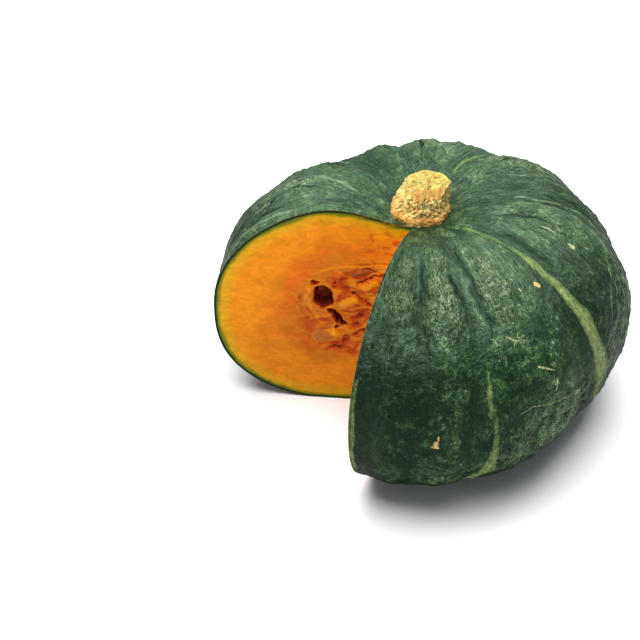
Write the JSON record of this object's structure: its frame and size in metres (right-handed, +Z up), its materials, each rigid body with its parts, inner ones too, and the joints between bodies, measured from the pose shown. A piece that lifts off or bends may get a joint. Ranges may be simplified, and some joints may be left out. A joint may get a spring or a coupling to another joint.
{
  "type": "cut kabocha squash",
  "caption": "Ribbed dark green kabocha squash with a wedge cut out of it, showing orange flesh, a pulpy seed cavity and loose seeds under a corky stem.",
  "frame": {"origin": "on the surface the squash rests on, under the middle of its bounding box", "axes": "+Z up along the stem; the wedge is missing between -X and -Y, with one cut facing -Y and the other facing -X"},
  "size_m": [0.1801, 0.1748, 0.1106],
  "materials": {
    "rind_and_flesh": "waxy dark green rind with pale green stripes, over moist orange flesh where it is cut",
    "corky_stem": "dry, cracked pale tan cork",
    "pulp": "wet orange strands with red-brown hollows",
    "seed": "moist tan with a paler raised rim"
  },
  "bodies": {
    "root": {"fruit": "rind_and_flesh", "stem": "corky_stem", "pulp": "pulp", "seed_left_1": "seed", "seed_left_2": "seed", "seed_left_3": "seed", "seed_front_1": "seed", "seed_front_2": "seed", "seed_front_3": "seed", "seed_front_4": "seed", "seed_front_5": "seed"}
  },
  "joints": []
}
